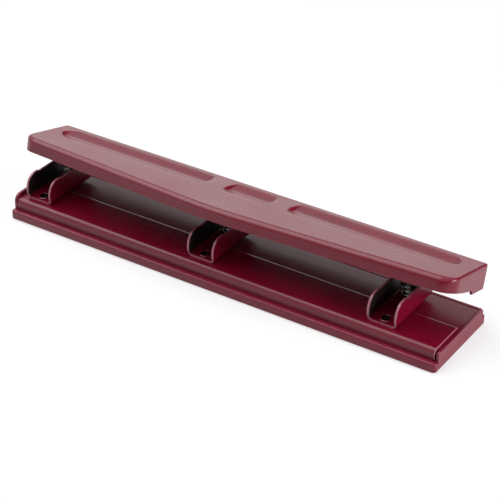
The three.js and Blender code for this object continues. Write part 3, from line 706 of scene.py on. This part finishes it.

# %% [markdown]
# ### Rivets and feet
#
# A semi-tubular rivet holds each head at its front. Its hollow end stands in the head's floor and is
# rolled over there, so a dark hole with a bright rim is what shows. A plain dark disc would do from
# afar, but the bore is real here. Its faces are picked by their place and get a near-black colour,
# painted shade for the depth of the hole. The feet are plain rubber pads.

# %% Rivets and feet
RIVET_LINE, RIVET_BORE, RIVET_EDGE, FOOT_EDGE = -14.0, 2.4, 0.08, 0.12
RIVET_PROFILE = [
    (0, 8.8), (3.1, 8.8), (3.5, 9.4), (2.7, 9.4), (2.7, 12.8), (3.5, 12.8), (3.4, 13.2), (3.0, 13.45),
    (2.7, 13.4), (2.42, 13.2), (2.3, 12.9), (2.3, 11.75), (0, 11.75),
]
FOOT_PROFILE = [(0, 0), (5.1, 0), (5.5, 0.4), (5.5, 1.6), (0, 1.6)]
FOOT_PLACES = {
    "front_left": (-123.5, -17.5), "front_right": (123.5, -17.5),
    "rear_left": (-123.5, 18.1), "rear_right": (123.5, 18.1),
}


def face_values(piece, kind):
    """Three rows of numbers for the faces of a piece, such as their centres or their normals."""
    values = np.empty(len(piece.data.polygons) * 3)
    piece.data.polygons.foreach_get(kind, values)
    return values.reshape(-1, 3).T


def finish_faces(piece, numbers):
    """Gives every face the material of that number on the piece's list."""
    piece.data.polygons.foreach_set("material_index", numbers.astype(np.int32))


def darken_bore(rivet, middle):
    """Second material, a painted shade, on the faces inside the bore: those above the plate and near the
    axis.
    """
    across, along, height = face_values(rivet, "center") / MM
    finish_faces(rivet, (np.hypot(across - middle, along - RIVET_LINE) < RIVET_BORE) & (height > DECK_TOP))


for side, middle in HEADS.items():
    rivet = edged_piece(f"rivet_{side}", carried_round(RIVET_PROFILE), (middle, RIVET_LINE, 0), RIVET_EDGE)
    seat(rivet, "base", [f"bracket_rivet_{side}"], "painted_sheet", ENAMEL, BORE_SHADE)
    # The bore's faces take the near-black painted shade.
    darken_bore(rivet, middle)
for corner, (x, y) in FOOT_PLACES.items():
    foot = edged_piece(f"rubber_foot_{corner}", carried_round(FOOT_PROFILE), (x, y, 0), FOOT_EDGE)
    seat(foot, "base", [f"foot_{corner}"], "foot_rubber", RUBBER)
print("rivets and feet:", len(HEADS), len(FOOT_PLACES))

# %% [markdown]
# ### Punch pins
#
# A punch pin is ground steel: a domed top that the yoke pushes, a groove for the clip, and a cutting
# end hollowed by a wheel, so that two points enter the paper first. A boolean could cut the hollow.
# It is cheaper to lift the points of the end: there the height follows the wheel's circle over y. The
# dome's height falls with the square of the radius.

# %% Punch pins
PIN_RADIUS, PIN_NECK, PIN_TIP, PIN_TOP, PIN_DOME, PIN_EDGE = 3.55, 2.65, 11.9, 34.77, 1.4, 0.1
GROOVE_LOW, GROOVE_HIGH = 21.75, 22.85
WHEEL_RADIUS, HOLLOW_DEPTH = 6.5, 1.0
DOME_STEPS, FACE_STEPS = 9, 8


def pin_grid():
    """Turned grid of a pin whose lowest points are lifted to the wheel's circle where that is higher."""
    face = np.linspace(0, 1, FACE_STEPS)[:-1]
    dome = np.linspace(1, 0, DOME_STEPS)
    profile = [(PIN_RADIUS * share, PIN_TIP) for share in face]
    profile += [(PIN_RADIUS, PIN_TIP), (PIN_RADIUS, PIN_TIP + 2 * HOLLOW_DEPTH), (PIN_RADIUS, GROOVE_LOW)]
    profile += [(PIN_NECK, GROOVE_LOW), (PIN_NECK, GROOVE_HIGH), (PIN_RADIUS, GROOVE_HIGH)]
    profile += [(PIN_RADIUS * share, PIN_TOP - PIN_DOME * share**2) for share in dome]
    grid = carried_round(profile)
    hollow = np.sqrt(WHEEL_RADIUS**2 - grid[..., 1]**2) - WHEEL_RADIUS + HOLLOW_DEPTH
    tip = grid[..., 2] <= PIN_TIP
    grid[..., 2] = np.where(tip, PIN_TIP + np.maximum(hollow, 0), grid[..., 2])
    return grid


for side, middle in HEADS.items():
    pin = edged_piece(f"pin_{side}_ground", pin_grid(), (middle, HOLE_ROW, 0), PIN_EDGE)
    seat(pin, f"pin_{side}", [f"punch_pin_{side}"], "bright_steel", STEEL)
print("a pin is", round(PIN_TOP - PIN_TIP, 1), "mm long")

# %% [markdown]
# ### Washers and clips
#
# The washer is stamped. The clip that holds it is an open ring with straight ends and two relief
# notches. It could be cut from a disc, but its outline is a plain function: the inner radius depends
# on the angle, and each radius has its own share of the turn, which keeps the ends parallel.

# %% Washers and clips
WASHER_BORE, WASHER_RIM, WASHER_LOW, WASHER_HIGH, WASHER_EDGE = 3.85, 5.15, 21.0, 21.6, 0.1
WASHER_PROFILE = [
    (WASHER_BORE, WASHER_LOW), (WASHER_RIM, WASHER_LOW),
    (WASHER_RIM, WASHER_HIGH), (WASHER_BORE, WASHER_HIGH),
]
CLIP_BORE, CLIP_RIM, CLIP_LOW, CLIP_HIGH = 2.95, 5.15, 21.9, 22.7
CLIP_MOUTH, CLIP_NOTCH, NOTCH_ANGLES = 4.4, 1.1, (30, 150)
CLIP_STEPS, CLIP_EDGE, CLIP_EDGE_ANGLE = 120, 0.12, 40


def clip_grid():
    """Section corners carried round an open ring, with a circular notch cut into the bore at two angles."""
    share = np.linspace(0, 1, CLIP_STEPS)[:, None]
    radius = np.array([CLIP_RIM, CLIP_BORE, CLIP_BORE, CLIP_RIM])
    start = -math.pi / 2 + np.arcsin(CLIP_MOUTH / 2 / radius)
    angle = start + share * (math.pi - 2 * start)
    bore = np.full(angle.shape, CLIP_BORE)
    for notch in NOTCH_ANGLES:
        off = angle - math.radians(notch)
        depth = CLIP_NOTCH**2 - (CLIP_BORE * np.sin(off))**2
        cut = CLIP_BORE * np.cos(off) + np.sqrt(np.maximum(depth, 0))
        bore = np.where((depth > 0) & (np.cos(off) > 0), cut, bore)
    radius = np.where(radius > CLIP_BORE, radius, bore)
    height = np.broadcast_to(np.array([CLIP_LOW, CLIP_LOW, CLIP_HIGH, CLIP_HIGH]), radius.shape)
    grid = np.stack([radius * np.cos(angle), radius * np.sin(angle), height], axis=-1)
    ends = grid[[0, -1]].mean(axis=1, keepdims=True) * np.ones((1, 4, 1))
    return np.concatenate([ends[:1], grid, ends[1:]])


for side, middle in HEADS.items():
    place = (middle, HOLE_ROW, 0)
    washer = edged_piece(f"washer_{side}", carried_round(WASHER_PROFILE), place, WASHER_EDGE, ring=True)
    seat(washer, f"pin_{side}", [f"spring_washer_{side}"], "plated_steel", ZINC)
    clip = edged_piece(f"clip_{side}", clip_grid(), place, CLIP_EDGE, 2, CLIP_EDGE_ANGLE)
    seat(clip, f"pin_{side}", [f"retaining_clip_{side}"], "bright_steel", STEEL)
print("gap of a clip's mouth in mm:", CLIP_MOUTH)

# %% [markdown]
# ### Springs
#
# A zinc-plated spring lifts each pin. It is wire wound on a mandrel. A curve with a bevel could draw
# it, but a grid closes its ends by itself: a helix carries a small circle at right angles to it, and
# the radius of that circle runs down to nothing at both ends. As the pin goes down, the real spring is
# squeezed towards its foot; here it keeps the shape that it has at rest.

# %% Springs
SPRING_RADIUS, WIRE_RADIUS, SPRING_TURNS = 4.3, 0.45, 2.75
SPRING_LOW, SPRING_HIGH = 13.1, 20.7
SPRING_STEPS, WIRE_SIDES, CAP_STEPS = 160, 14, 4


def spring_grid():
    """Small circles along a helix, square to its way, whose radius falls to nothing at both ends."""
    angle = np.linspace(0, 2 * math.pi * SPRING_TURNS, SPRING_STEPS)
    low, high = SPRING_LOW + WIRE_RADIUS, SPRING_HIGH - WIRE_RADIUS
    height = low + angle / angle[-1] * (high - low)
    line = np.stack([SPRING_RADIUS * np.cos(angle), SPRING_RADIUS * np.sin(angle), height], axis=1)
    way = unit(np.gradient(line, axis=0))
    cap = np.linspace(0, math.pi / 2, CAP_STEPS + 1)[:-1, None]
    start_cap = line[:1] - way[:1] * WIRE_RADIUS * np.cos(cap)
    end_cap = line[-1:] + way[-1:] * WIRE_RADIUS * np.cos(cap[::-1])
    line = np.concatenate([start_cap, line, end_cap])
    wire = WIRE_RADIUS * np.concatenate([np.sin(cap[:, 0]), np.ones(SPRING_STEPS), np.sin(cap[::-1, 0])])
    way = np.concatenate([way[:1].repeat(CAP_STEPS, axis=0), way, way[-1:].repeat(CAP_STEPS, axis=0)])
    out = unit(np.cross((0, 0, 1), way))
    up = np.cross(way, out)
    turn = np.linspace(0, 2 * math.pi, WIRE_SIDES, endpoint=False)[None, :, None]
    return line[:, None] + wire[:, None, None] * (out[:, None] * np.cos(turn) + up[:, None] * np.sin(turn))


for side, middle in HEADS.items():
    spring = formed_piece(f"spring_{side}", spring_grid(), (middle, HOLE_ROW, 0))
    seat(spring, "base", [f"return_spring_{side}"], "plated_steel", ZINC)
    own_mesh(spring)

# %% [markdown]
# ### Hinge pins
#
# Each hinge pin is a rivet through the head's walls and the yoke's arms. Its heads are domed: their
# height falls with the square of the radius. Half a sphere would stand too proud for such a rivet.

# %% Hinge pins
HINGE_REACH, HINGE_SHANK, HINGE_RIM, HINGE_DOME, HINGE_EDGE = 8.6, 1.8, 3.1, 1.1, 0.08
DOMED_SHARE = 0.75


def hinge_profile():
    """Domed head, shank and domed head: the second half is the first one turned round."""
    share = np.linspace(0, 1, DOME_STEPS)
    height = -HINGE_REACH - HINGE_DOME + DOMED_SHARE * HINGE_DOME * share**2
    dome = np.stack([HINGE_RIM * share, height], axis=1)
    half = np.concatenate([dome, [(HINGE_RIM, -HINGE_REACH), (HINGE_SHANK, -HINGE_REACH)]])
    return np.concatenate([half, half[::-1] * (1, -1)])


for side, middle in HEADS.items():
    grid = carried_round(hinge_profile(), lying=True)
    hinge_pin = edged_piece(f"hinge_rivet_{side}", grid, (middle, *HINGE), HINGE_EDGE)
    seat(hinge_pin, "base", [f"hinge_pin_{side}"], "bright_steel", STEEL)
print("a hinge pin is", round(2 * (HINGE_REACH + HINGE_DOME), 1), "mm long")

# %% [markdown]
# ## Heads and yokes
#
# The heads are the busiest pressings: a channel with a curved nose, a round eye, a bridge across the
# top and three sizes of hole. Their outlines come from cutting, so the construction model's shape is
# kept, with its corners merged. The bevel matters most here, because the cut edge of each nose shows
# as a thin bright line; the bevel's colour is thin enamel with a painted highlight. Faces are picked
# by the way that they look: those that look neither left nor right are cut edges or floor, and those
# that look at each other are the inner walls, which get a near-black colour as painted shade. The
# yokes sit in their shade and need no more than a small bevel.

# %% Heads and yokes
HEAD_EDGE, HEAD_EDGE_STEPS, YOKE_EDGE = 0.45, 3, 0.25
HEAD_FLOOR_HEIGHT = 14.0
NARROW, SIDEWAYS, LEVEL = 0.1, 0.9, 0.99


def dress_channel(head, middle):
    """Second material, the painted highlight, on a channel's cut edges; third, the painted shade, on the
    inner faces of its two walls.
    """
    across, _, upward = face_values(head, "normal")
    x, _, height = face_values(head, "center") / MM
    floor = (height < HEAD_FLOOR_HEIGHT) & (np.abs(upward) > LEVEL)
    cut = (np.abs(across) < NARROW) & ~floor
    inner = (np.abs(across) > SIDEWAYS) & (across * (x - middle) < 0)
    finish_faces(head, cut + 2 * inner)


for side, middle in HEADS.items():
    head = tidy_copy(f"head_bracket_{side}", f"head_channel_{side}", HEAD_EDGE, HEAD_EDGE_STEPS, slot=1)
    # Cut edges take the painted highlight colour and inner walls the painted shade.
    seat(head, "base", [f"head_bracket_{side}"], "painted_sheet", ENAMEL, EDGE_ENAMEL_HIGHLIGHT, INNER_WALL_SHADE)
    dress_channel(head, middle)
    yoke = tidy_copy(f"lever_yoke_{side}", f"yoke_strap_{side}", YOKE_EDGE)
    seat(yoke, "lever", [f"lever_yoke_{side}"], "painted_sheet", ENAMEL)

# %% [markdown]
# ## The table top
#
# The table is a plain matt disc. A pale grey keeps it from throwing light up under the lever. To the
# camera and to reflections it also glows, so that it reads as white paper does in a bright studio
# while it keeps the punch's soft shadow. More light on a white table would do that too, but it would
# bleach the punch. The glow lights nothing else.

# %% Table
TABLE_RADIUS, TABLE_STEPS = 1100.0, 96
TABLE_COLOUR, TABLE_ROUGHNESS, TABLE_GLOW = (0.45, 0.45, 0.45, 1), 0.9, 0.6


def table_material():
    """Matt grey that adds a white glow for camera and glossy rays alone."""
    material = bpy.data.materials.new("white_table")
    material.use_nodes = True
    tree = material.node_tree
    shader = tree.nodes["Principled BSDF"]
    shader.inputs["Base Color"].default_value = TABLE_COLOUR
    shader.inputs["Roughness"].default_value = TABLE_ROUGHNESS
    shader.inputs["Specular IOR Level"].default_value = 0.0
    path = add_node(tree, "ShaderNodeLightPath")
    seen = add_node(tree, "ShaderNodeMath", operation="MAXIMUM")
    strength = add_node(tree, "ShaderNodeMath", {1: TABLE_GLOW}, operation="MULTIPLY")
    glow = add_node(tree, "ShaderNodeEmission")
    both = add_node(tree, "ShaderNodeAddShader")
    for start, end in (
        (path.outputs["Is Camera Ray"], seen.inputs[0]),
        (path.outputs["Is Glossy Ray"], seen.inputs[1]),
        (seen.outputs[0], strength.inputs[0]),
        (strength.outputs[0], glow.inputs["Strength"]),
        (shader.outputs[0], both.inputs[0]),
        (glow.outputs[0], both.inputs[1]),
        (both.outputs[0], tree.nodes["Material Output"].inputs["Surface"]),
    ):
        link(tree, start, end)
    return material


def table_rim():
    """Points round the disc: radius times the cosine and the sine of the angle."""
    angle = np.linspace(0, 2 * math.pi, TABLE_STEPS, endpoint=False)
    return TABLE_RADIUS * np.stack([np.cos(angle), np.sin(angle), np.zeros(TABLE_STEPS)], axis=1)


table_top = make_object("table_top", table_rim(), np.arange(TABLE_STEPS)[None, :])
table_top.data.materials.append(table_material())
print("table radius in mm:", TABLE_RADIUS)
